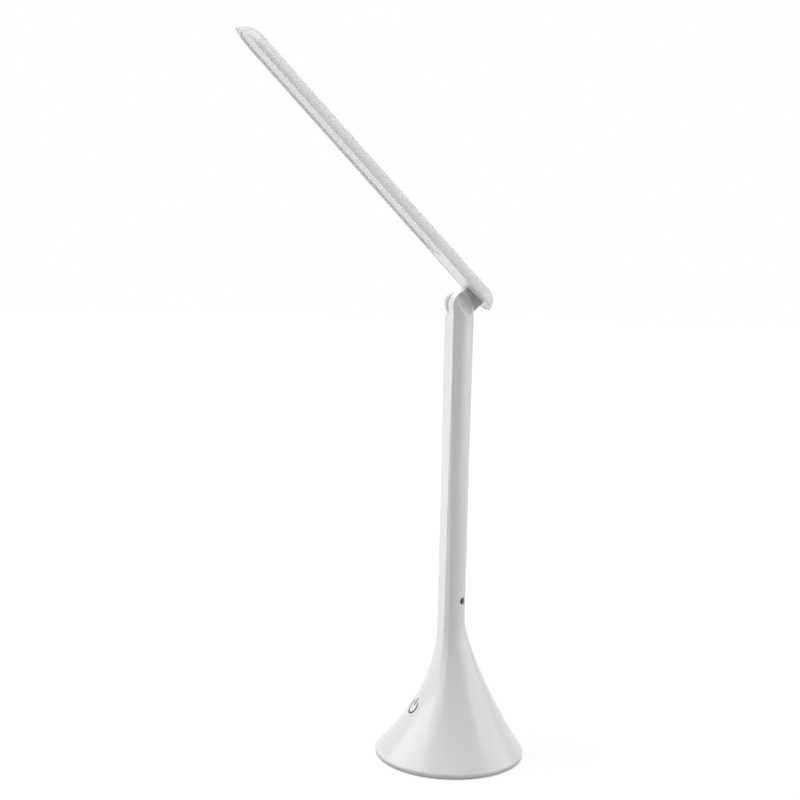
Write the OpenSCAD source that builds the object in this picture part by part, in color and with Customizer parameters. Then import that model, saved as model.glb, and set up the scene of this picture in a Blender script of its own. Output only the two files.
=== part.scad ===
// Folding LED desk lamp: a trumpet-shaped foot, a D-section stem, and a long
// flat lamp head that folds down against the stem on one half-lapped friction hinge.
// Origin: centre of the foot, on the table. +Z up, the front is -Y, hinge along X.

/* [Base] */
// Diameter of the round foot
base_d = 110; // [100:1:124]
// Height of the seam between foot and stem, on the axis
base_h = 99; // [94:1:112]
// Wall of the moulded foot
base_wall = 2.2; // [1.8:0.1:2.6]
// Height of the upright rim at the bottom
rim_h = 3.6; // [2.5:0.1:5]
// How far the rim curls in at its bottom edge
rim_curl = 1.0; // [0.4:0.1:1.6]
// Hollowness of the flare at the front
flare_front = 2.0; // [1.7:0.05:2.2]
// Hollowness of the flare at the rear
flare_rear = 1.36; // [1.25:0.02:1.6]
// Rise of the seam from front to rear, per mm
seam_slope = 0.42; // [0.3:0.02:0.5]
// Height that the rubber mat holds the foot off the table
mat_gap = 1.0; // [0.6:0.1:1.6]
// Thickness of the bottom plate
plate_t = 2.6; // [2.4:0.1:3]
// Thickness of the steel ballast disc
ballast_t = 6; // [4:0.5:6.5]

/* [Stem] */
// Width of the stem, side to side
stem_w = 27; // [25:0.5:29]
// Depth of the stem, front to back
stem_d = 18; // [17:0.25:19]
// Straight part of the stem's side, behind the front face
stem_side = 4.5; // [3.8:0.1:5]
// Wall of the stem
stem_wall = 2; // [1.6:0.1:2.2]
// Thickness of the strip let into the stem's front
strip_t = 1.2; // [1:0.1:1.4]
// Bevel of the stem's long front edges at the foot; it fades out towards the hinge
bevel_foot = 3; // [1.4:0.1:3.2]

/* [Hinge] */
// Height of the hinge axis above the table
hinge_h = 336; // [325:1:348]
// Hinge axis behind the stem's centre plane
hinge_back = 0.8; // [0.6:0.1:1]
// Radius of the two rounded hinge halves
knuckle_r = 10.3; // [10:0.1:10.5]
// Plane between the hinge halves, beside the middle
slit_x = -1.5; // [-2.4:0.1:-0.6]
// Slanting face behind the stem's half, measured from the hinge axis
slant_reach = 5.2; // [4.8:0.1:6.4]
// Radius of the hinge pin
pin_r = 2.5; // [2.2:0.1:2.7]
// Thickness of a friction washer
washer_t = 0.5; // [0.4:0.05:0.5]
// How far back the lug under the head reaches from the hinge axis
lug_back = 9.7; // [8.8:0.1:9.8]

/* [Head] */
// Upward tilt of the head as it stands open
head_tilt = 46; // [40:1:50]
// Length of the head in front of the hinge axis
head_front = 250; // [230:1:252]
// Length of the head behind the hinge axis
head_rear = 15.5; // [14:0.5:18]
// Width of the head
head_w = 38; // [36:0.5:40]
// Thickness of the head
head_t = 10.2; // [10.1:0.1:11.4]
// Hinge axis below the head's lit face
head_off = 11.1; // [11:0.1:12]
// Wall of the head's back shell
head_wall = 1.5; // [1.2:0.1:1.8]
// Corner radius of the head's rear end, seen from above
rear_corner = 14.5; // [12:0.5:16]
// Radius that rounds the head's back all the way round its edge
edge_r = 12; // [11.5:0.1:12]
// Width of the lit window
window_w = 29; // [24:0.5:30]
// Window's rear end, in front of the hinge axis
window_rear = 36; // [30:1:60]
// How deep the diffuser sits in the window
window_deep = 1.0; // [0.6:0.1:1.2]
// Thickness of the diffuser
diffuser_t = 1.2; // [1:0.1:1.5]
// Lamp chips in one row
led_count = 18; // [10:1:24]

/* [Fits] */
// Gap between pieces that only lie next to each other
seam_gap = 0.2; // [0.15:0.05:0.3]
// Gap between pieces that turn past each other
turn_gap = 0.35; // [0.3:0.05:0.45]
// Radial clearance of the hinge pin in its bores
pin_fit = 0.05; // [0.03:0.01:0.08]

/* [Hidden] */

white = [0.93, 0.93, 0.92];
base_r = base_d / 2;
front_y = -stem_d / 2;
stem_r = stem_w / 2;
arc_y = front_y + stem_side;
plate_z = mat_gap;
plate_gap = 1.3;
cavity_z = plate_z + plate_t;

// ---------- the stem's D-shaped section ----------
module d_section(inset = 0, front = front_y) {
    intersection() {
        union() {
            translate([0, arc_y]) circle(r = stem_r - inset, $fn = 128);
            translate([-stem_r + inset, front + inset])
                square([stem_w - 2 * inset, arc_y - front - inset]);
        }
        translate([-stem_w, front + inset]) square([2 * stem_w, 3 * stem_d]);
    }
}

// The section at the foot of the stem, with its front corners bevelled
module bevelled_section(inset) {
    line = stem_r - front_y - bevel_foot - inset * sqrt(2);
    reach = 5;
    difference() {
        d_section(inset);
        for (side = [-1, 1])
            polygon([[side * (line + front_y - reach), front_y - reach],
                     [side * (stem_r + reach), front_y - reach],
                     [side * (stem_r + reach), stem_r + reach - line]]);
    }
}

// Everything above the sloping seam between foot and stem, raised by lift
module above_seam(lift = 0) {
    translate([0, 0, base_h + lift])
        rotate([atan(seam_slope), 0, 0])
            translate([-100, -100, 0]) cube([200, 200, 600]);
}

// ---------- the foot: lofted from a round rim to the D-shaped socket ----------
ring_n = 72;
rings_out = 22;
rings_in = 12;

// Distance from the axis to the D section, in direction a
function d_reach(a) =
    let (side = stem_r / max(abs(cos(a)), 0.001),
         arc = arc_y * sin(a) + sqrt(stem_r * stem_r - pow(arc_y * cos(a), 2)),
         flank = side * sin(a) <= arc_y ? side : arc,
         face = sin(a) < 0 ? front_y / sin(a) : 1000,
         spread = abs(cos(a)) - sin(a),
         bevel = spread > 0 ? (stem_r - front_y - bevel_foot) / spread : 1000)
    min(flank, face, bevel);

// Hollowness of the flare in direction a
function flare_power(a) = (flare_front + flare_rear) / 2 - (flare_front - flare_rear) / 2 * sin(a);

// Distance from the axis to the outside of the foot, at height z in direction a
function foot_reach(a, z) =
    let (up = max(z - rim_h, 0) / (base_h - rim_h),
         curl = z < rim_h ? rim_curl * pow(1 - (z - plate_z) / (rim_h - plate_z), 2) : 0)
    d_reach(a) + (base_r - d_reach(a)) * pow(max(1 - up, 0), flare_power(a)) - curl;

// The seam at the top slopes, and that slope fades out down the flare
function foot_point(a, z, inset) =
    let (r = foot_reach(a, z) - inset, y = r * sin(a))
    [r * cos(a), y, z + seam_slope * y * pow(z / base_h, 3)];

function foot_ring(z, inset) = [for (i = [0 : ring_n - 1]) foot_point(i * 360 / ring_n, z, inset)];

function out_z(k) = k < 4 ? plate_z + (rim_h - plate_z) * k / 4
                          : rim_h + (base_h - rim_h) * pow((k - 4) / (rings_out - 4), 1.15);
function in_z(k) = plate_z + (base_h - plate_z) * pow(1 - k / rings_in, 1.1);

// Inside face: the wall is measured square to the flare, so it counts for more low down
function wall_in(z) = base_wall * (1 + 0.45 * pow(1 - z / base_h, 1.5));

// Fixing post, ending inside the flare's wall
post_r = 3;
post_ring = base_r - rim_curl - wall_in(plate_z) - plate_gap - 7;

// Height of the flare over the post in direction a, less part of the wall
function post_height(a) =
    let (reach = d_reach(a), share = (post_ring + post_r - reach) / (base_r - reach))
    rim_h + (base_h - rim_h) * (1 - pow(share, 1 / flare_power(a))) - 1.3;

module on_ring(count, ring, turn) {
    for (i = [0 : count - 1]) rotate([0, 0, turn + i * 360 / count]) translate([ring, 0, 0]) children();
}

// Places its children at the three posts and tells them each post's height
module on_posts() {
    for (a = [30, 150, 270]) {
        $post_top = post_height(a);
        rotate([0, 0, a]) translate([post_ring, 0, 0]) children();
    }
}

module base_shell() {
    sections = concat([for (k = [0 : rings_out]) foot_ring(out_z(k), 0)],
                      [for (k = [0 : rings_in]) foot_ring(in_z(k), wall_in(in_z(k)))]);
    count = len(sections);
    points = [for (s = sections) each s];
    faces = [for (k = [0 : count - 1], i = [0 : ring_n - 1])
                let (j = (i + 1) % ring_n, n = (k + 1) % count,
                     p = k * ring_n + i, q = k * ring_n + j, r = n * ring_n + j, s = n * ring_n + i)
                each [[p, s, r], [p, r, q]]];
    color(white) difference() {
        union() {
            polyhedron(points = points, faces = faces, convexity = 6);
            on_posts() translate([0, 0, cavity_z + 0.1])
                cylinder(r = post_r, h = $post_top - cavity_z, $fn = 48);
        }
        on_posts() translate([0, 0, cavity_z - 1])
            cylinder(r = pilot_r, h = $post_top - cavity_z - 0.5, $fn = 32);
    }
}

// ---------- inside the foot ----------
plate_r = base_r - rim_curl - wall_in(plate_z) - plate_gap;
mat_r = plate_r - 2;
mat_sunk = 0.6;
screw_r = 1.4;
pilot_r = screw_r + 0.05;
screw_clear = screw_r + 0.25;
head_r = 2.8;
head_tall = 0.8;
ballast_r = post_ring - post_r - 1;
ballast_z = cavity_z;
cradle_t = 2;
cradle_z = ballast_z + ballast_t;
cradle_ring = 25;
cradle_turn = 90;
cell_r = 9;
cell_len = 64;
cell_z = cradle_z + cradle_t + cell_r + seam_gap;
board_post = 14.5;
board_z = cell_z + cell_r + 2.4;
board_t = 1.6;

module base_plate() {
    color([0.88, 0.88, 0.87]) difference() {
        translate([0, 0, plate_z]) cylinder(r = plate_r, h = plate_t, $fn = 128);
        translate([0, 0, plate_z - 1]) cylinder(r = mat_r + seam_gap, h = 1 + mat_sunk, $fn = 128);
        on_posts() translate([0, 0, plate_z - 1]) cylinder(r = screw_clear, h = plate_t + 2, $fn = 32);
        on_posts() translate([0, 0, plate_z]) cylinder(r = head_r + seam_gap, h = mat_sunk + 1, $fn = 32);
    }
}

module rubber_mat() {
    color([0.25, 0.25, 0.26]) cylinder(r = mat_r, h = mat_gap + mat_sunk, $fn = 128);
}

// Each holds the plate up against one of the foot's posts
module base_screws() {
    color("silver") on_posts() translate([0, 0, plate_z + mat_sunk + 1 - head_tall]) {
        cylinder(r = head_r, h = head_tall, $fn = 32);
        cylinder(r = screw_r, h = $post_top - plate_z - 4, $fn = 32);
    }
}

module ballast() {
    color([0.45, 0.46, 0.48]) difference() {
        translate([0, 0, ballast_z]) cylinder(r = ballast_r, h = ballast_t, $fn = 128);
        on_ring(2, cradle_ring, cradle_turn)
            translate([0, 0, ballast_z + 1]) cylinder(r = pilot_r, h = ballast_t, $fn = 32);
    }
}

module cell_axis() {
    translate([0, 0, cell_z]) rotate([0, 90, 0]) children();
}

module battery_cell() {
    color([0.20, 0.42, 0.62]) cell_axis() {
        cylinder(r = cell_r, h = cell_len, center = true, $fn = 96);
        translate([0, 0, cell_len / 2]) cylinder(r = 2.8, h = 1, $fn = 48);
    }
}

// A base sheet with two cell saddles and two board posts
module battery_cradle() {
    saddle_w = 6;
    color([0.82, 0.82, 0.80]) difference() {
        union() {
            translate([0, 0, cradle_z]) cylinder(r = cradle_ring + 5, h = cradle_t, $fn = 96);
            for (x = [-22, 22])
                translate([x - saddle_w / 2, -cell_r - 2.5, cradle_z])
                    cube([saddle_w, 2 * cell_r + 5, cell_r + cradle_t]);
            for (y = [-board_post, board_post])
                translate([0, y, cradle_z]) cylinder(r = 2.6, h = board_z - cradle_z, $fn = 40);
        }
        cell_axis() cylinder(r = cell_r + seam_gap, h = cell_len + 4, center = true, $fn = 96);
        on_ring(2, cradle_ring, cradle_turn)
            translate([0, 0, cradle_z - 1]) cylinder(r = screw_clear, h = cradle_t + 2, $fn = 32);
        for (y = [-board_post, board_post])
            translate([0, y, board_z - 6]) cylinder(r = 1.05, h = 7, $fn = 32);
    }
}

// Two hold the board on its posts and two hold the cradle on the ballast
module inner_screws() {
    color("silver") {
        for (y = [-board_post, board_post]) translate([0, y, 0]) {
            translate([0, 0, board_z + board_t]) cylinder(r = 2.2, h = 1.2, $fn = 32);
            translate([0, 0, board_z - 5]) cylinder(r = 1, h = 5 + board_t + 0.1, $fn = 32);
        }
        on_ring(2, cradle_ring, cradle_turn) {
            translate([0, 0, cradle_z + cradle_t]) cylinder(r = head_r, h = 1.2, $fn = 32);
            translate([0, 0, cradle_z - ballast_t + 2])
                cylinder(r = screw_r, h = ballast_t + cradle_t - 1, $fn = 32);
        }
    }
}

module control_board() {
    board_half_w = board_post + 2.5;
    board_half_d = board_post + 3.5;
    color([0.10, 0.42, 0.22]) difference() {
        translate([-board_half_w, -board_half_d, board_z])
            cube([2 * board_half_w, 2 * board_half_d, board_t]);
        for (y = [-board_post, board_post])
            translate([0, y, board_z - 1]) cylinder(r = 1.15, h = board_t + 2, $fn = 32);
    }
    color([0.12, 0.12, 0.13]) {
        translate([-15, -4, board_z + board_t]) cube([8, 8, 1.6]);
        translate([4, -7, board_z + board_t]) cube([6, 5, 3]);
        translate([6, 4, board_z + board_t]) cylinder(r = 3, h = 7, $fn = 48);
    }
}

// ---------- touch switch: an electrode behind the wall and its contact spring ----------
touch_h = 37;
// Slope of the flare's front where the touch mark is
touch_slope = atan(flare_front * (base_r + front_y) / (base_h - rim_h)
              * pow(1 - (touch_h - rim_h) / (base_h - rim_h), flare_front - 1));

touch_dip = seam_slope * foot_reach(-90, touch_h) * pow(touch_h / base_h, 3);

module touch_frame() {
    translate([0, -foot_reach(-90, touch_h), touch_h - touch_dip])
        rotate([90 - touch_slope, 0, 0]) children();
}

module touch_electrode() {
    depth = 1 + wall_in(touch_h);
    color([0.72, 0.60, 0.35]) touch_frame() {
        translate([0, 0, -depth]) cylinder(r = 6, h = 0.6, $fn = 64);
        translate([0, 0, -depth - 2.4]) difference() {
            cylinder(r = 2.5, h = 2.45, $fn = 48);
            translate([0, 0, -1]) cylinder(r = 1.9, h = 3, $fn = 48);
        }
    }
}

// ---------- stem ----------
socket_in = base_wall + seam_gap;
socket_len = 20;
front_wall = strip_t + 1.2;
strip_edge = 0.7;
strip_top = hinge_h - 22;
bevel_top = hinge_h - 20;
port_z = base_h + 19.5;
port_turn = 44;
port_r = 2.8;
plug_r = 1.75;
socket_sunk = 2.2;

module at_hinge() {
    translate([0, hinge_back, hinge_h]) children();
}

module along_x(r, half, fn = 96) {
    rotate([0, 90, 0]) cylinder(r = r, h = 2 * half, center = true, $fn = fn);
}

// Extrudes an outline drawn in y and z from x = from to x = to
module across_x(from, to) {
    translate([from, 0, 0]) rotate([90, 0, 90]) linear_extrude(to - from) children();
}

// Extrudes an outline drawn in x and z from y = from to y = to
module along_y(from, to) {
    translate([0, to, 0]) rotate([90, 0, 0]) linear_extrude(to - from) children();
}

// Front strip's outline, narrowing with the bevels; less is taken off every side
module strip_outline(less, low, high) {
    low_half = stem_r - strip_edge - less - bevel_foot * (bevel_top - low) / (bevel_top - base_h);
    high_half = stem_r - strip_edge - less - bevel_foot * (bevel_top - high) / (bevel_top - base_h);
    polygon([[-low_half, low], [low_half, low], [high_half, high], [-high_half, high]]);
}

// The bevel leans so that it is full at the foot and gone under the hinge
module bevel_cut() {
    lean = atan(bevel_foot * cos(45) / (bevel_top - base_h));
    translate([stem_r, front_y, bevel_top])
        rotate([0, 0, -45]) rotate([0, lean, 0])
            translate([0, -20, -400]) cube([20, 40, 410]);
}

// Runs along the charging socket's axis, square to the stem's rounded back
module port_axis() {
    translate([0, arc_y, port_z]) rotate([0, 0, port_turn]) rotate([0, 90, 0]) children();
}

slit_half = washer_t / 2 + pin_fit;
lobe_face = slit_x + slit_half;
lug_face = slit_x - slit_half;
stop_r = 6.2;
stop_tab = 1.2;
stop_depth = 1.6;
slant_up = 29.5;
pin_deep = 9;
lead_x = -5;
lead_r = 0.7;

// The stem's own outline: D-shaped in section and rounded over the hinge
module stem_outline() {
    intersection() {
        across_x(-stem_w, stem_w) {
            translate([hinge_back, hinge_h]) circle(r = knuckle_r, $fn = 160);
            translate([front_y, 60]) square([30, hinge_h - 60]);
        }
        translate([0, 0, 60]) linear_extrude(hinge_h) d_section(0, front_y - 1);
        above_seam(seam_gap);
    }
}

// Everything that the lug under the head turns in, on its side of the slit
module lug_room() {
    clear = knuckle_r + turn_gap;
    across_x(-40, lobe_face) translate([hinge_back, hinge_h]) {
        circle(r = clear, $fn = 160);
        translate([-40, -6.9]) square([80, 60]);
    }
    // Chamber under the lug where the lead bends
    at_hinge() translate([lead_x - 2.5, -4, -14]) cube([5, 8, 10]);
}

// Slanting face behind the stem's half, and the long bevel beside it
module slant_cut() {
    at_hinge() rotate([slant_up, 0, 0]) {
        translate([lobe_face - 40, slant_reach, -60]) cube([80, 40, 120]);
        translate([12.9, -4.2, 0]) rotate([0, 0, -58]) translate([-40, 0, -60]) cube([80, 40, 120]);
    }
}

// Groove for the lug's stop tab, its two ends cut off by one flat
module stop_groove() {
    at_hinge() translate([lobe_face, 0, 0]) intersection() {
        difference() {
            along_x(stop_r + stop_tab + 0.1, stop_depth);
            along_x(stop_r - stop_tab - 0.1, stop_depth + 1);
        }
        rotate([slant_up, 0, 0]) translate([-10, -20.8, -20]) cube([20, 20, 40]);
    }
}

module stem_shell() {
    color(white) difference() {
        union() {
            stem_outline();
            // Tail that plugs into the foot
            translate([0, 0, base_h - socket_len]) linear_extrude(socket_len + 4) bevelled_section(socket_in);
        }
        bevel_cut();
        mirror([1, 0, 0]) bevel_cut();
        // Hollow, closed under the hinge
        translate([0, 0, base_h - socket_len - 1])
            linear_extrude(hinge_h - base_h + socket_len - 15) intersection() {
                d_section(socket_in + 1.6);
                translate([-50, front_y + socket_in + 1.6]) square([100, 100]);
            }
        translate([0, 0, base_h + 12]) linear_extrude(hinge_h - base_h - 28) intersection() {
            d_section(stem_wall);
            translate([-50, front_y + front_wall]) square([100, 100]);
        }
        // Seat of the strip, and the window behind it
        along_y(front_y - 1, front_y + strip_t + 0.1)
            strip_outline(-seam_gap / 2, 60, strip_top + seam_gap / 2);
        along_y(front_y, front_y + front_wall + 1) strip_outline(2, base_h + 16, strip_top - 3);
        port_axis() cylinder(r = port_r + seam_gap / 2, h = stem_r + 2, $fn = 48);
        lug_room();
        slant_cut();
        stop_groove();
        at_hinge() translate([lobe_face + pin_deep / 2, 0, 0])
            along_x(pin_r + pin_fit, pin_deep / 2 + 0.5, 64);
        translate([lead_x, hinge_back, hinge_h - 30]) cylinder(r = 2.2, h = 20, $fn = 32);
    }
}

module stem_strip() {
    color(white) intersection() {
        along_y(front_y, front_y + strip_t) strip_outline(0, 60, strip_top);
        above_seam(seam_gap);
    }
}

module charge_socket() {
    mouth = stem_r - socket_sunk;
    color([0.12, 0.12, 0.13]) port_axis() difference() {
        union() {
            translate([0, 0, mouth - 7]) cylinder(r = port_r, h = 7, $fn = 48);
            translate([0, 0, mouth - 10]) cylinder(r = port_r + 1, h = 9.3, $fn = 48);
        }
        translate([0, 0, mouth - 8]) cylinder(r = plug_r, h = 9, $fn = 48);
    }
}

// From the board straight up to the chamber under the hinge
module stem_wire() {
    foot = board_z + board_t;
    color([0.75, 0.1, 0.1]) translate([lead_x, hinge_back, foot])
        cylinder(r = lead_r, h = hinge_h - 12 - foot, $fn = 32);
}

// ---------- hinge ----------
// The head and what turns with it, drawn level and then tilted up about the hinge
module on_head() {
    at_hinge() rotate([-head_tilt, 0, 0]) children();
}

cap_r = 5;
cap_t = 1.2;
pin_head_r = 4.2;
pin_head_t = 2.4;
pin_head_x = -stem_r + cap_t + 0.6;
lug_seat = pin_head_x + pin_head_t + washer_t + pin_fit;
lug_front = -6.6;
lug_corner = 6;
bezel_t = 2.4;
bezel_in = head_wall + seam_gap;
bezel_z = head_off + seam_gap;
lug_screw_y = 7.2;
lug_screw_r = 0.8;
lead_y = 4.6;

// Shoulder pin, screwed into the stem's half; the lug turns on it under its head
module hinge_pin() {
    color("silver") at_hinge() {
        translate([(pin_head_x + lobe_face + pin_deep) / 2, 0, 0])
            along_x(pin_r, (lobe_face + pin_deep - pin_head_x) / 2, 64);
        translate([pin_head_x + pin_head_t / 2, 0, 0]) along_x(pin_head_r, pin_head_t / 2, 64);
    }
}

// One friction washer in the slit and one under the pin's head
module hinge_washers() {
    color([0.7, 0.7, 0.66]) for (x = [slit_x, pin_head_x + pin_head_t + washer_t / 2 + pin_fit / 2])
        at_hinge() translate([x, 0, 0]) difference() {
            along_x(4.2, washer_t / 2, 64);
            along_x(pin_r + pin_fit, washer_t, 64);
        }
}

module at_lug_screws() {
    for (x = [-4.6, -9]) translate([x, lug_screw_y, 0]) children();
}

// Outline of the lug from above, rounded where it meets the stem's rounded back
module lug_plan() {
    translate([-stem_r, -20]) square([stem_r + lug_face, 20 + lug_back - lug_corner]);
    translate([-stem_r + lug_corner, -20]) square([stem_r + lug_face - lug_corner, 20 + lug_back]);
    translate([-stem_r + lug_corner, lug_back - lug_corner]) circle(r = lug_corner, $fn = 64);
}

// The head's half of the hinge: a round disc that grows into a block under the head
module hinge_lug() {
    color(white) on_head() difference() {
        union() {
            intersection() {
                across_x(-stem_r, lug_face) {
                    circle(r = knuckle_r, $fn = 160);
                    translate([lug_front, 0]) square([lug_back - lug_front, head_off]);
                }
                translate([0, 0, -20]) linear_extrude(50) lug_plan();
            }
            rotate([187.5, 0, 0]) translate([lug_face + stop_depth / 2 - 0.1, stop_r, 0])
                along_x(stop_tab, stop_depth / 2, 48);
        }
        along_x(pin_r + pin_fit, 60, 64);
        translate([lug_seat - 20, 0, 0]) along_x(pin_head_r + seam_gap, 20, 64);
        translate([pin_head_x - 0.2 - 20, 0, 0]) along_x(cap_r + seam_gap / 2, 20, 64);
        at_lug_screws() translate([0, 0, 4.5]) cylinder(r = lug_screw_r + 0.05, h = 30, $fn = 32);
        // Way of the lead, and the groove round the disc that it bends into
        translate([lead_x, lead_y, -20]) cylinder(r = lead_r + seam_gap, h = 50, $fn = 32);
        difference() {
            translate([lead_x, 0, 0]) along_x(knuckle_r + 3, 1);
            translate([lead_x, 0, 0]) along_x(knuckle_r - 1.6, 2);
            translate([-50, -50, 0]) cube([100, 100, 50]);
        }
    }
}

// Round plug over the pin's head
module hinge_cap() {
    color(white) on_head() translate([-stem_r + cap_t / 2, 0, 0]) along_x(cap_r, cap_t / 2, 64);
}

// Down through the lit-side frame into the lug
module lug_screws() {
    color("silver") on_head() at_lug_screws() {
        translate([0, 0, bezel_z + bezel_t]) cylinder(r = 1.6, h = 1, $fn = 32);
        translate([0, 0, 5]) cylinder(r = lug_screw_r, h = bezel_z + bezel_t - 5 + 0.1, $fn = 32);
    }
}

// ---------- head ----------
head_len = head_front + head_rear;
tip_r = head_w / 2;

// Height against distance from a straight edge or a corner's centre: the back's round
// starts beside the lit face and runs into the flat top, reach away from that centre
module edge_profile(reach, inset, low) {
    intersection() {
        union() {
            translate([reach - edge_r, head_t - edge_r]) circle(r = edge_r - inset, $fn = 160);
            translate([-0.5, low]) square([reach - edge_r + 0.5, head_t - inset - low]);
        }
        translate([0, low]) square([reach, head_t - low]);
    }
}

// Head or hollow: the outline's edge is swept along both sides and turned round the ends.
// Its lowest plane is low above the lit face
module head_form(inset = 0, low = 0) {
    tip_y = -head_front + tip_r;
    rear_y = head_rear - rear_corner;
    side_len = rear_y - tip_y;
    corner_x = head_w / 2 - rear_corner;
    translate([0, 0, head_off]) {
        translate([0, tip_y, 0]) rotate_extrude($fn = 160) edge_profile(tip_r, inset, low);
        for (s = [-1, 1]) {
            translate([s * corner_x, rear_y, 0])
                rotate_extrude($fn = 160) edge_profile(rear_corner, inset, low);
            translate([0, rear_y, 0]) rotate([90, 0, 0]) linear_extrude(side_len)
                mirror([s < 0 ? 1 : 0, 0]) edge_profile(head_w / 2, inset, low);
        }
        translate([-corner_x, rear_y, 0]) rotate([90, 0, 90]) linear_extrude(2 * corner_x)
            edge_profile(rear_corner, inset, low);
    }
}

module head_shell() {
    color(white) on_head() {
        difference() {
            head_form();
            head_form(head_wall, -1);
        }
        // Pillars that the LED board is pressed against
        for (y = [-head_front + 30, -head_front / 2, -window_rear - 8])
            translate([0, y, head_off + board_lift + led_board_t])
                cylinder(r = 2.5, h = head_t - head_wall - board_lift - led_board_t + 0.5, $fn = 32);
    }
}

// A stadium-shaped outline for the window and what lies behind it
module window_plan(grow = 0) {
    r = window_w / 2 + grow;
    front = -head_front + tip_r;
    rear = -window_rear - window_w / 2;
    translate([0, front]) circle(r = r, $fn = 128);
    translate([0, rear]) circle(r = r, $fn = 128);
    translate([-r, front]) square([2 * r, rear - front]);
}

module head_bezel() {
    color(white) on_head() difference() {
        intersection() {
            head_form(bezel_in);
            translate([-head_w, -head_len, bezel_z]) cube([2 * head_w, 2 * head_len, bezel_t]);
        }
        translate([0, 0, bezel_z - 1]) linear_extrude(bezel_t + 2) window_plan();
        translate([0, 0, bezel_z + window_deep]) linear_extrude(bezel_t) window_plan(1.2 + seam_gap);
        at_lug_screws() cylinder(r = lug_screw_r + 0.1, h = 40, $fn = 32);
        translate([lead_x, lead_y, 0]) cylinder(r = lead_r + seam_gap, h = 40, $fn = 32);
    }
}

module diffuser() {
    color([0.97, 0.97, 0.95]) on_head()
        translate([0, 0, bezel_z + window_deep]) linear_extrude(diffuser_t) window_plan(1.2);
}

board_lift = 4.6;
led_board_t = 1;
led_t = 0.7;
tray_wall = 0.8;

// White walls that keep the light over the diffuser
module reflector_tray() {
    tray_z = bezel_z + bezel_t;
    color([0.96, 0.96, 0.96]) on_head()
        translate([0, 0, tray_z]) linear_extrude(head_off + board_lift - tray_z) difference() {
            window_plan();
            window_plan(-tray_wall);
        }
}

module led_board() {
    color([0.94, 0.94, 0.92]) on_head()
        translate([0, 0, head_off + board_lift]) linear_extrude(led_board_t) window_plan(-0.5);
}

module led_chips() {
    front = -head_front + tip_r;
    rear = -window_rear - window_w / 2;
    pitch = (rear - front) / (led_count - 1);
    color([0.95, 0.85, 0.45]) on_head()
        for (x = [-6, 6], i = [0 : led_count - 1])
            translate([x - 1.4, front + i * pitch - 1.75, head_off + board_lift - led_t])
                cube([2.8, 3.5, led_t]);
}

// Up through the lug and the frame, then forward to the board's end
module head_wire() {
    run_z = head_off + board_lift + lead_r + 0.05;
    rise = run_z + knuckle_r - 3;
    color([0.75, 0.1, 0.1]) on_head() translate([lead_x, lead_y, run_z]) {
        translate([0, 0, -rise]) cylinder(r = lead_r, h = rise, $fn = 32);
        sphere(r = lead_r, $fn = 32);
        rotate([90, 0, 0]) cylinder(r = lead_r, h = lead_y + window_rear + 1.1, $fn = 32);
    }
}

base_shell();
base_plate();
rubber_mat();
base_screws();
ballast();
battery_cell();
battery_cradle();
inner_screws();
control_board();
touch_electrode();
charge_socket();
stem_shell();
stem_strip();
stem_wire();
hinge_pin();
hinge_washers();
hinge_lug();
hinge_cap();
lug_screws();
head_shell();
head_bezel();
diffuser();
reflector_tray();
led_board();
led_chips();
head_wire();
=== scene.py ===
import math

import bmesh
import bpy
from mathutils import Matrix, Vector


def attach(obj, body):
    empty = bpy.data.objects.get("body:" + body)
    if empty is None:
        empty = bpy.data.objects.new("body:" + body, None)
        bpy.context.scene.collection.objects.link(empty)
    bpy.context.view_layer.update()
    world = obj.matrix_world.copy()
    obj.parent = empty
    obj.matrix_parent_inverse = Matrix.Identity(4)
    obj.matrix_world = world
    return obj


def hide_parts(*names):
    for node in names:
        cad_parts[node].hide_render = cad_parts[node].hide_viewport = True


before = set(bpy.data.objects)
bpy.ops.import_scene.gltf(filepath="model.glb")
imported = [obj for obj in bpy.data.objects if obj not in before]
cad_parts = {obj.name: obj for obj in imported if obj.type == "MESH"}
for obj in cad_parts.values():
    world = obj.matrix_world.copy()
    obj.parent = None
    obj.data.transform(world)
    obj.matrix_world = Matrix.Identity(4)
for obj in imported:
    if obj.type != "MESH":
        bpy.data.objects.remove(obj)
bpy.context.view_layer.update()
scene = bpy.context.scene
scene.view_settings.view_transform = "Standard"

# ---------- camera ----------
# It stands a metre off the lamp's right side, a little to the front, at about the
# height of the hinge, and looks slightly down at the lamp.
camera_turn = math.radians(76)
camera_away = 0.992
camera_height = 0.382
look_aside = math.radians(-2.48)
look_down = math.radians(6.70)
camera_roll = math.radians(1.35)
camera_lens = 61.5
nearest_seen = 0.05

upright = Vector((0, 0, 1))
outward = Vector((math.sin(camera_turn), -math.cos(camera_turn), 0))
level_right = (-outward).cross(upright)
level_ahead = math.cos(look_aside) * -outward + math.sin(look_aside) * level_right
right_before_roll = level_ahead.cross(upright)
ahead = math.cos(look_down) * level_ahead - math.sin(look_down) * upright
up_before_roll = right_before_roll.cross(ahead)
right = math.cos(camera_roll) * right_before_roll + math.sin(camera_roll) * up_before_roll
up = math.cos(camera_roll) * up_before_roll - math.sin(camera_roll) * right_before_roll


def placed(name, data):
    """An object of this name in the scene."""
    thing = bpy.data.objects.new(name, data)
    scene.collection.objects.link(thing)
    return thing


camera = placed("camera", bpy.data.cameras.new("camera"))
camera.data.lens = camera_lens
camera.data.clip_start = nearest_seen
camera.matrix_world = Matrix((right, up, -ahead)).transposed().to_4x4()
camera.location = outward * camera_away + upright * camera_height
scene.camera = camera

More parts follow.
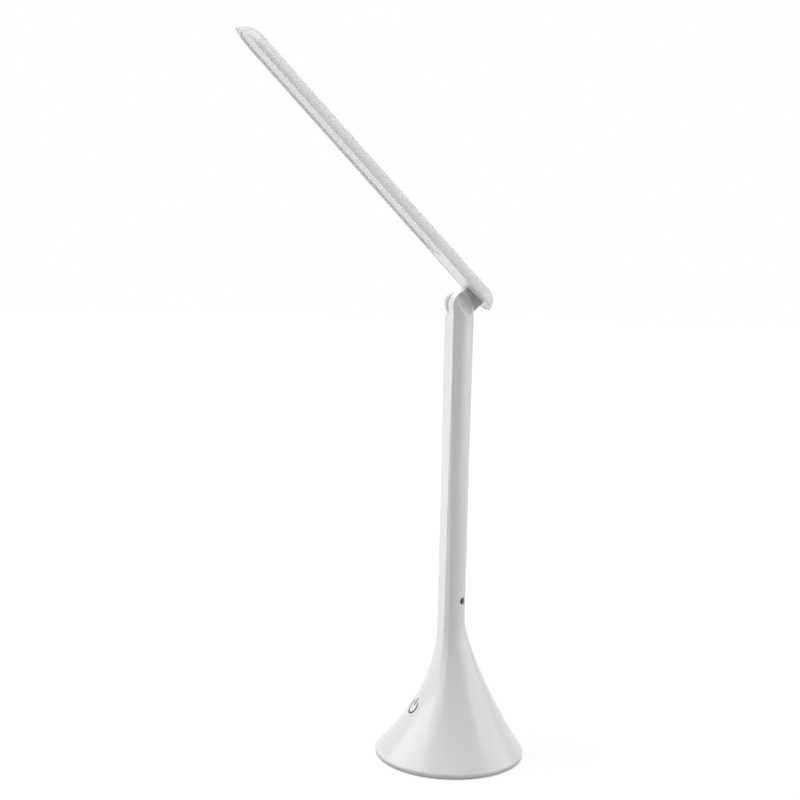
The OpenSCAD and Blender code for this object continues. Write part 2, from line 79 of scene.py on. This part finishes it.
# ---------- table top and paper dome ----------
# A plain white table top under a dome of white paper. The camera and gloss see white on
# both. The world's soft light falls through the dome. The table's matt part keeps the real shadow,
# and its glow carries a painted contact shadow close under the rim.
floor_half = 8
table_white = (0.64, 0.64, 0.64, 1)
room_white = (1, 1, 1, 1)
full_white = 1.0
seen_white = 1.63
seen_share = 0.62
seen_near = 0.78
near_reach = 0.15
far_reach = 1.2
painted_shadow_reach = 0.002
world_light = 0.06
dome_r = 6.0
dome_around = 48
dome_up = 12
dome_low = math.radians(-10)
dome_high = math.radians(89.9)


class Wire:
    """An output of a finish's nodes. Arithmetic on it adds Math nodes."""

    def __init__(self, finish, socket):
        self.finish = finish
        self.socket = socket

    def maths(self, operation, other):
        return self.finish.node("ShaderNodeMath", {"operation": operation}, {0: self, 1: other})

    def __add__(self, other):
        return self.maths("ADD", other)

    def __mul__(self, other):
        return self.maths("MULTIPLY", other)

    def or_more(self, other):
        return self.maths("MAXIMUM", other)

    __radd__ = __add__
    __rmul__ = __mul__


class Finish:
    """The nodes of one material, or of the world."""

    def __init__(self, name, owner=None):
        self.owner = owner or bpy.data.materials.new(name)
        self.owner.use_nodes = True
        self.nodes = self.owner.node_tree.nodes
        self.nodes.clear()

    def node(self, kind, settings=None, sockets=None, out=0):
        """One node: its settings first, then the values or links of its sockets."""
        made = self.nodes.new(kind)
        for name, value in (settings or {}).items():
            setattr(made, name, value)
        for name, value in (sockets or {}).items():
            if isinstance(value, Wire):
                self.owner.node_tree.links.new(value.socket, made.inputs[name])
            else:
                made.inputs[name].default_value = value
        return Wire(self, made.outputs[out]) if len(made.outputs) else None

    def place(self, stretch=(1, 1, 1)):
        """Place on the piece in metres. Over 1, stretch packs a grain closer along that axis."""
        spot = self.node("ShaderNodeTexCoord", out="Object")
        return self.node("ShaderNodeMapping", None, {"Vector": spot, "Scale": stretch})

    def noise(self, grain, detail=2, stretch=(1, 1, 1)):
        """Noise whose blotches are about grain metres across."""
        return self.node("ShaderNodeTexNoise", None,
                         {"Vector": self.place(stretch), "Scale": 1 / grain, "Detail": detail})

    def mix(self, share, first, second):
        """A colour between two. Sockets 6 and 7 and output 2 are the Mix node's colours."""
        return self.node("ShaderNodeMix", {"data_type": "RGBA"},
                         {0: share, 6: (*first, 1), 7: (*second, 1)}, out=2)

    def bump(self, height, depth):
        return self.node("ShaderNodeBump", None, {"Height": height, "Distance": depth})

    def glow(self, kind, colour, strength):
        """An Emission or a Background of this colour."""
        return self.node(kind, None, {"Color": colour, "Strength": strength})

    def seen(self):
        """1 for rays from the camera, off gloss or through clear plastic, 0 for falling light."""
        looks = self.node("ShaderNodeLightPath", out="Is Camera Ray")
        gloss = self.node("ShaderNodeLightPath", out="Is Glossy Ray")
        through = self.node("ShaderNodeLightPath", out="Is Transmission Ray")
        return looks.or_more(gloss).or_more(through)

    def blended(self, share, first, second):
        """Two shaders mixed by a share."""
        return self.node("ShaderNodeMixShader", None, {0: share, 1: first, 2: second})

    def output(self, shader, kind="ShaderNodeOutputMaterial"):
        self.node(kind, None, {"Surface": shader})
        return self.owner

    def surface(self, **sockets):
        """Principled shader; an underscore in a name stands for a space."""
        named = {name.replace("_", " "): value for name, value in sockets.items()}
        return self.output(self.node("ShaderNodeBsdfPrincipled", None, named))


world = bpy.data.worlds.new("white_room")
scene.world = world
air = Finish("white_room", world)
soft_light = air.glow("ShaderNodeBackground", room_white, world_light)
white_wall = air.glow("ShaderNodeBackground", room_white, full_white)
air.output(air.blended(air.seen(), soft_light, white_wall), "ShaderNodeOutputWorld")

floor_mesh = bpy.data.meshes.new("floor")
corners = [(-floor_half, -floor_half, 0), (floor_half, -floor_half, 0),
           (floor_half, floor_half, 0), (-floor_half, floor_half, 0)]
floor_mesh.from_pydata(corners, [], [(0, 1, 2, 3)])
floor = placed("floor", floor_mesh)
table = Finish("table_top")
matt = table.node("ShaderNodeBsdfDiffuse", None, {"Color": table_white})
# Painted contact shadow: ambient occlusion darkens the table's glow within a few millimetres of the
# lamp.
painted_contact_shadow = table.node("ShaderNodeAmbientOcclusion", None, {"Distance": painted_shadow_reach}, out="AO")
spot = table.node("ShaderNodeNewGeometry", out="Position")
from_lamp = table.node("ShaderNodeVectorMath", {"operation": "LENGTH"}, {0: spot}, out="Value")
paler = table.node("ShaderNodeMapRange", None, {"Value": from_lamp, "From Min": near_reach,
                                                "From Max": far_reach, "To Min": seen_near})
# The glow is painted dark where the occlusion closes in, and runs from seen_near near the lamp to
# full white far off.
glow_with_painted_shadow = table.mix(painted_contact_shadow * paler, (0.0, 0.0, 0.0), (1.0, 1.0, 1.0))
table_glow_with_painted_shadow = table.glow("ShaderNodeEmission", glow_with_painted_shadow, seen_white)
floor_mesh.materials.append(table.output(table.blended(table.seen() * seen_share, matt, table_glow_with_painted_shadow)))

dome_points = []
for row in range(dome_up + 1):
    tilt = dome_low + (dome_high - dome_low) * row / dome_up
    for step in range(dome_around):
        turn = 2 * math.pi * step / dome_around
        dome_points.append((dome_r * math.cos(tilt) * math.cos(turn),
                            dome_r * math.cos(tilt) * math.sin(turn),
                            dome_r * math.sin(tilt)))
dome_faces = []
for row in range(dome_up):
    low = row * dome_around
    high = low + dome_around
    for step in range(dome_around):
        beside = (step + 1) % dome_around
        dome_faces.append((low + step, low + beside, high + beside, high + step))
dome_mesh = bpy.data.meshes.new("white_dome")
dome_mesh.from_pydata(dome_points, [], dome_faces)
dome = placed("white_dome", dome_mesh)
paper = Finish("white_paper")
clear = paper.node("ShaderNodeBsdfTransparent")
white_paper = paper.glow("ShaderNodeEmission", room_white, full_white)
dome_mesh.materials.append(paper.output(paper.blended(paper.seen(), clear, white_paper)))

# ---------- studio lamps ----------
# Large softboxes in front of the lamp, behind it, overhead and on its left, and a narrow
# strip lamp that draws the fine line of light down the flare.
aim_point = Vector((0, 0, 0.25))
softboxes = [("front_softbox", (-0.26, -1.45, 1.20), 1.8, 1.8, 28.0),
             ("rear_softbox", (0.42, 1.40, 0.50), 1.5, 1.0, 8.6),
             ("top_softbox", (0.35, 0.25, 1.6), 1.0, 1.0, 10.5),
             ("side_softbox", (-1.50, 0.40, 1.0), 1.2, 1.2, 7.0)]
strip_low = Vector((0.80, 0.92, 0.56))
strip_high = Vector((0.55, 1.00, 0.70))
strip_aim = Vector((0.03, 0.01, 0.04))
strip_width = 0.03
strip_power = 0.45


def flat_lamp(name, length, width, power):
    lamp = placed(name, bpy.data.lights.new(name, "AREA"))
    lamp.data.shape = "RECTANGLE"
    lamp.data.size = length
    lamp.data.size_y = width
    lamp.data.energy = power
    return lamp


for name, stand, wide, high, power in softboxes:
    softbox = flat_lamp(name, wide, high, power)
    softbox.location = stand
    softbox.rotation_euler = (aim_point - softbox.location).to_track_quat("-Z", "Y").to_euler()

strip_middle = (strip_low + strip_high) / 2
strip_back = (strip_middle - strip_aim).normalized()
strip_across = strip_back.cross(strip_high - strip_low).normalized()
strip_along = strip_across.cross(strip_back)
strip = flat_lamp("strip_lamp", (strip_high - strip_low).length, strip_width, strip_power)
strip.matrix_world = Matrix((strip_along, strip_across, strip_back)).transposed().to_4x4()
strip.location = strip_middle

# ---------- foot ----------
# The trumpet-shaped foot, injection moulded in glossy white ABS. It starts as the stem's
# D-shaped section and flares out to a round rim that stands 1 mm off the table.
mm = 0.001
foot_r = 55.0
foot_top = 99.0
stem_half = 13.5
stem_front = -9.0
side_end = -4.5
bevel = 3.0
rim_top = 3.6
rim_foot = 1.0
rim_curl = 1.0
curl_power = 2
flare_front = 2.0
flare_rear = 1.36
seam_slope = 0.42
lean_power = 3
foot_wall = 2.2
wall_more = 0.45
wall_power = 1.5
around = 144
rings_rim = 6
rings_flare = 60
rings_inside = 24
flare_spacing = 1.15
inside_spacing = 1.1
least_across = 0.001
far_off = 1000
weld_reach = 0.000002
flat_within = math.radians(0.3)
sharp_edge = math.radians(28)
round_over = math.radians(30)
round_width = 0.0004
round_steps = 3


def section_reach(turn):
    """Distance from the axis to the stem's section."""
    across = math.cos(turn)
    along = math.sin(turn)
    side = stem_half / max(abs(across), least_across)
    if side * along > side_end:
        side = side_end * along + math.sqrt(stem_half ** 2 - (side_end * across) ** 2)
    face = stem_front / along if along < 0 else far_off
    spread = abs(across) - along
    corner = (stem_half - stem_front - bevel) / spread if spread > 0 else far_off
    return min(side, face, corner)


def foot_reach(turn, z):
    """Distance from the axis to the foot's outside, at height z."""
    share = max(z - rim_top, 0) / (foot_top - rim_top)
    curl = rim_curl * (1 - (z - rim_foot) / (rim_top - rim_foot)) ** curl_power if z < rim_top else 0
    power = (flare_front + flare_rear) / 2 - (flare_front - flare_rear) / 2 * math.sin(turn)
    reach = section_reach(turn)
    return reach + (foot_r - reach) * max(1 - share, 0) ** power - curl


def foot_point(turn, z, inset=0.0):
    """Point of the foot, in metres; its rings lean more and more up to the sloping seam."""
    reach = foot_reach(turn, z) - inset
    y = reach * math.sin(turn)
    lean = seam_slope * y * (z / foot_top) ** lean_power
    return Vector((reach * math.cos(turn), y, z + lean)) * mm


def finished(name, mesh):
    """An object from a bmesh, with its faces turned out and smooth."""
    bmesh.ops.recalc_face_normals(mesh, faces=mesh.faces)
    data = bpy.data.meshes.new(name)
    mesh.to_mesh(data)
    mesh.free()
    for face in data.polygons:
        face.use_smooth = True
    return placed(name, data)


def crease_group():
    """Modifier nodes that shade smooth except over edges bent more than sharp_edge."""
    group = bpy.data.node_groups.new("smooth_but_creased", "GeometryNodeTree")
    group.is_modifier = True
    for way in ("INPUT", "OUTPUT"):
        group.interface.new_socket(name="Geometry", in_out=way, socket_type="NodeSocketGeometry")
    start = group.nodes.new("NodeGroupInput")
    end = group.nodes.new("NodeGroupOutput")
    bend = group.nodes.new("GeometryNodeInputMeshEdgeAngle")
    sharp = group.nodes.new("FunctionNodeCompare")
    sharp.operation = "GREATER_THAN"
    sharp.inputs[1].default_value = sharp_edge
    normals = group.nodes.new("GeometryNodeSetMeshNormal")
    normals.mode = "SHARPNESS"
    normals.inputs["Remove Custom"].default_value = True
    link = group.links.new
    link(bend.outputs[0], sharp.inputs[0])
    link(start.outputs[0], normals.inputs["Mesh"])
    link(sharp.outputs[0], normals.inputs["Edge Sharpness"])
    link(normals.outputs[0], end.inputs[0])
    return group


turns = [2 * math.pi * step / around for step in range(around)]
for x, y in [(stem_half - bevel, stem_front), (stem_half, stem_front + bevel)]:
    for side in (-1, 1):
        corner_turn = math.atan2(y, side * x) % (2 * math.pi)
        nearest = min(range(around), key=lambda step: abs(turns[step] - corner_turn))
        turns[nearest] = corner_turn

levels = [rim_foot + (rim_top - rim_foot) * k / rings_rim for k in range(rings_rim)]
levels += [rim_top + (foot_top - rim_top) * (k / rings_flare) ** flare_spacing
           for k in range(rings_flare + 1)]
foot_rings = [[foot_point(turn, z) for turn in turns] for z in levels]
for k in range(rings_inside + 1):
    z = rim_foot + (foot_top - rim_foot) * (1 - k / rings_inside) ** inside_spacing
    wall = foot_wall * (1 + wall_more * (1 - z / foot_top) ** wall_power)
    foot_rings.append([foot_point(turn, z, wall) for turn in turns])

foot_mesh = bmesh.new()
foot_rows = [[foot_mesh.verts.new(point) for point in ring] for ring in foot_rings]
for low, high in zip(foot_rows, foot_rows[1:] + foot_rows[:1]):
    for i in range(around):
        j = (i + 1) % around
        foot_mesh.faces.new((low[i], low[j], high[j], high[i]))
foot = finished("flared_foot", foot_mesh)

# Flat runs of facets become whole faces, then every corner gets a small moulded round.
smooth_but_creased = crease_group()
weld = foot.modifiers.new("weld", "WELD")
weld.merge_threshold = weld_reach
bare = foot.modifiers.new("bare", "NODES")
bare.node_group = smooth_but_creased
whole = foot.modifiers.new("whole", "DECIMATE")
whole.decimate_type = "DISSOLVE"
whole.angle_limit = flat_within
round_off = foot.modifiers.new("round", "BEVEL")
round_off.width = round_width
round_off.segments = round_steps
round_off.limit_method = "ANGLE"
round_off.angle_limit = round_over
round_off.miter_outer = "MITER_ARC"
crease = foot.modifiers.new("crease", "NODES")
crease.node_group = smooth_but_creased

white = Finish("glossy_white_abs")
skin = white.noise(grain=0.0011, detail=1)
flow = white.noise(grain=0.05, detail=3)
white_abs = white.surface(
    Base_Color=white.mix(flow, (0.80, 0.80, 0.795), (0.83, 0.83, 0.825)),
    Roughness=0.21 + flow * 0.06,
    Normal=white.bump(skin, depth=0.000003),
    IOR=1.5)
foot.data.materials.append(white_abs)
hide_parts("base_shell")
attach(foot, "base")

# ---------- touch mark ----------
# The on-off mark over the touch electrode: a broken ring with a bar through its gap,
# pad-printed in dark grey ink on the front of the flare.
mark_z = 37.3
mark_r = 6.2
mark_stroke = 1.6
mark_gap = math.radians(38)
mark_lean = 0.72
bar_low = 1.5
bar_high = 8.7
ring_steps = 60
bar_steps = 10
settle_steps = 5
ink_gap = 0.015
ink_thick = 0.05


def on_flare(u, v):
    """Point of the flare's front, u mm to the side of its middle and v mm up its slope."""
    z = mark_z + v * mark_lean
    turn = -math.pi / 2
    for _ in range(settle_steps):
        turn = -math.pi / 2 + math.asin(u / foot_reach(turn, z))
    return foot_point(turn, z, -ink_gap)


def ribbon(mesh, path, half):
    """A strip of ink along a flat path of points and directions, laid on the flare."""
    rows = []
    for (u, v), (du, dv) in path:
        edges = [on_flare(u - dv * side * half, v + du * side * half) for side in (-1, 0, 1)]
        rows.append([mesh.verts.new(point) for point in edges])
    for low, high in zip(rows, rows[1:]):
        for i in range(2):
            mesh.faces.new((low[i], low[i + 1], high[i + 1], high[i]))


mark_mesh = bmesh.new()
ring_path = []
for k in range(ring_steps + 1):
    turn = math.pi / 2 + mark_gap + (2 * math.pi - 2 * mark_gap) * k / ring_steps
    ring_path.append(((mark_r * math.cos(turn), mark_r * math.sin(turn)),
                      (-math.sin(turn), math.cos(turn))))
ribbon(mark_mesh, ring_path, mark_stroke / 2)
bar_path = [((0, bar_low + (bar_high - bar_low) * k / bar_steps), (0, 1))
            for k in range(bar_steps + 1)]
ribbon(mark_mesh, bar_path, mark_stroke / 2)
mark = finished("touch_mark", mark_mesh)
thick = mark.modifiers.new("thick", "SOLIDIFY")
thick.thickness = ink_thick * mm
thick.offset = 1
ink = Finish("grey_pad_print_ink")
speck = ink.noise(grain=0.0004)
mark.data.materials.append(ink.surface(
    Base_Color=ink.mix(speck, (0.012, 0.012, 0.014), (0.025, 0.025, 0.028)),
    Roughness=0.4 + speck * 0.15,
    Normal=ink.bump(speck, depth=0.000003)))
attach(mark, "base")

# ---------- bottom plate and mat ----------
# An off-white matt plate closes the foot from below, and a round rubber mat with a fine
# cast grain is stuck into its recess to stand on.


def refinish(node_name, material):
    """Gives a node its finish in place of the plain one."""
    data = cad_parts[node_name].data
    data.materials.clear()
    data.materials.append(material)


plate = Finish("matt_white_plate")
spark = plate.noise(grain=0.0006)
refinish("base_plate", plate.surface(
    Base_Color=plate.mix(spark, (0.74, 0.74, 0.73), (0.79, 0.79, 0.78)),
    Roughness=0.5 + spark * 0.12,
    Normal=plate.bump(spark, depth=0.00003)))

mat = Finish("black_rubber")
grit = mat.noise(grain=0.0005, detail=3)
wear = mat.noise(grain=0.02)
refinish("rubber_mat", mat.surface(
    Base_Color=mat.mix(wear, (0.018, 0.018, 0.02), (0.035, 0.035, 0.037)),
    Roughness=0.75 + wear * 0.15,
    Normal=mat.bump(grit, depth=0.00006)))

# ---------- screws, pin and washers ----------
# Zinc-plated screws, the turned shoulder pin of the hinge, and its two friction washers
# pressed from thin steel.
steel = Finish("zinc_plated_steel")
lathe = steel.noise(grain=0.0003, stretch=(1, 1, 6))
cloudy = steel.noise(grain=0.004)
zinc = steel.surface(
    Base_Color=steel.mix(cloudy, (0.56, 0.57, 0.59), (0.66, 0.67, 0.68)),
    Metallic=1.0,
    Roughness=0.26 + lathe * 0.16,
    Normal=steel.bump(lathe, depth=0.000008))
for node_name in ("base_screws", "inner_screws", "hinge_pin", "hinge_washers", "lug_screws"):
    refinish(node_name, zinc)

# ---------- ballast ----------
# A disc of bare rough steel that keeps the lamp standing under its long head. It lies on
# the bottom plate, and the cradle is screwed down on it.
rough = Finish("bare_rough_steel")
pitted = rough.noise(grain=0.0012, detail=4)
rust = rough.noise(grain=0.012, detail=3)
refinish("ballast", rough.surface(
    Base_Color=rough.mix(rust, (0.11, 0.11, 0.115), (0.19, 0.175, 0.16)),
    Metallic=0.85,
    Roughness=0.5 + pitted * 0.2,
    Normal=rough.bump(pitted, depth=0.0001)))

# ---------- cell and cradle ----------
# One lithium cell in a plain blue shrink sleeve, lying in the saddles of a cradle moulded
# in grey nylon, whose two posts carry the board.
sleeve = Finish("blue_shrink_sleeve")
shrink = sleeve.noise(grain=0.003, stretch=(0.3, 1, 1))
refinish("battery_cell", sleeve.surface(
    Base_Color=sleeve.mix(shrink, (0.02, 0.09, 0.24), (0.03, 0.12, 0.30)),
    Roughness=0.3 + shrink * 0.12,
    Normal=sleeve.bump(shrink, depth=0.00003)))

cradle = Finish("grey_nylon")
nylon = cradle.noise(grain=0.0008)
refinish("battery_cradle", cradle.surface(
    Base_Color=cradle.mix(nylon, (0.50, 0.50, 0.48), (0.56, 0.56, 0.54)),
    Roughness=0.45 + nylon * 0.1,
    Normal=cradle.bump(nylon, depth=0.00002)))

# ---------- control board and touch electrode ----------
# A green solder-masked board with its parts, and the brass electrode and contact spring
# behind the touch mark.
mask = Finish("green_solder_mask")
weave = mask.node("ShaderNodeTexBrick", None,
                  {"Vector": mask.place(), "Scale": 260, "Mortar Size": 0.06,
                   "Color1": (0.01, 0.12, 0.045, 1), "Color2": (0.012, 0.14, 0.05, 1),
                   "Mortar": (0.03, 0.21, 0.08, 1)})
raised = mask.noise(grain=0.0007, detail=1)
refinish("control_board", mask.surface(
    Base_Color=weave,
    Roughness=0.3 + raised * 0.1,
    Normal=mask.bump(raised, depth=0.00001)))

sheet = Finish("pressed_brass")
rolled = sheet.noise(grain=0.0006, stretch=(1, 8, 1))
refinish("touch_electrode", sheet.surface(
    Base_Color=sheet.mix(rolled, (0.60, 0.42, 0.14), (0.70, 0.52, 0.20)),
    Metallic=1.0,
    Roughness=0.3 + rolled * 0.15,
    Normal=sheet.bump(rolled, depth=0.00001)))

# ---------- charging socket ----------
# A small black barrel socket, pressed into its hole low on the stem's rounded back until
# it sits about 2 mm under the surface.
socket = Finish("black_socket_nylon")
fibre = socket.noise(grain=0.0004)
refinish("charge_socket", socket.surface(
    Base_Color=socket.mix(fibre, (0.018, 0.018, 0.02), (0.03, 0.03, 0.032)),
    Roughness=0.42 + fibre * 0.14,
    Normal=socket.bump(fibre, depth=0.00001)))

# ---------- stem ----------
# A D-section tube moulded in the same glossy white, with a flat strip let into its front
# and one half of the lapped hinge at its top.
for node_name in ("stem_shell", "stem_strip"):
    refinish(node_name, white_abs)

# ---------- hinge lug and cap ----------
# The other half of the hinge, screwed under the head, and the round plug that hides the
# pin's head. They are moulded in a tougher nylon; their mid grey is painted shade for the shadow
# under the head.
nylon_with_painted_shade = Finish("nylon_grey_painted_shade")
fleck = nylon_with_painted_shade.noise(grain=0.0009)
# Painted shade: the lug and cap are coloured grey so they look shaded under the head.
painted_shade_grey = nylon_with_painted_shade.surface(
    Base_Color=nylon_with_painted_shade.mix(fleck, (0.62, 0.615, 0.605), (0.66, 0.655, 0.645)),
    Roughness=0.34 + fleck * 0.1,
    Normal=nylon_with_painted_shade.bump(fleck, depth=0.000004))
for node_name in ("hinge_lug", "hinge_cap"):
    refinish(node_name, painted_shade_grey)

# ---------- head ----------
# A long shallow shell moulded in glossy white with rounded shoulders, and the frame that
# closes it on the lit side.
for node_name in ("head_shell", "head_bezel"):
    refinish(node_name, white_abs)

# ---------- diffuser ----------
# A strip of opal acrylic with a satin face that lies a millimetre deep in its window and
# spreads the light of the chips behind it.
opal = Finish("opal_acrylic")
satin = opal.noise(grain=0.0004)
tone = opal.noise(grain=0.03)
refinish("diffuser", opal.surface(
    Base_Color=opal.mix(tone, (0.87, 0.87, 0.86), (0.90, 0.90, 0.89)),
    Roughness=0.34 + satin * 0.12,
    Normal=opal.bump(satin, depth=0.000008)))

# ---------- reflector and lamp board ----------
# White walls that keep the light over the diffuser, the white-masked strip board, and two
# rows of lamp chips on it under yellow phosphor.
bright = Finish("matt_white_reflector")
chalk = bright.noise(grain=0.0009)
reflector_white = bright.surface(
    Base_Color=bright.mix(chalk, (0.84, 0.84, 0.84), (0.88, 0.88, 0.88)),
    Roughness=0.55 + chalk * 0.1,
    Normal=bright.bump(chalk, depth=0.00001))
for node_name in ("reflector_tray", "led_board"):
    refinish(node_name, reflector_white)

phosphor = Finish("yellow_phosphor")
powder = phosphor.noise(grain=0.0003)
refinish("led_chips", phosphor.surface(
    Base_Color=phosphor.mix(powder, (0.80, 0.60, 0.14), (0.88, 0.70, 0.22)),
    Roughness=0.35 + powder * 0.1,
    Normal=phosphor.bump(powder, depth=0.00001)))

# ---------- leads ----------
# A lead in a red silicone sleeve, from the control board straight up to the chamber under
# the hinge, and its second half up through the lug and forward to the lamp board.
silicone = Finish("red_silicone")
tacky = silicone.noise(grain=0.0005)
red_lead = silicone.surface(
    Base_Color=silicone.mix(tacky, (0.32, 0.02, 0.015), (0.40, 0.03, 0.02)),
    Roughness=0.45 + tacky * 0.1,
    Normal=silicone.bump(tacky, depth=0.00001))
for node_name in ("stem_wire", "head_wire"):
    refinish(node_name, red_lead)
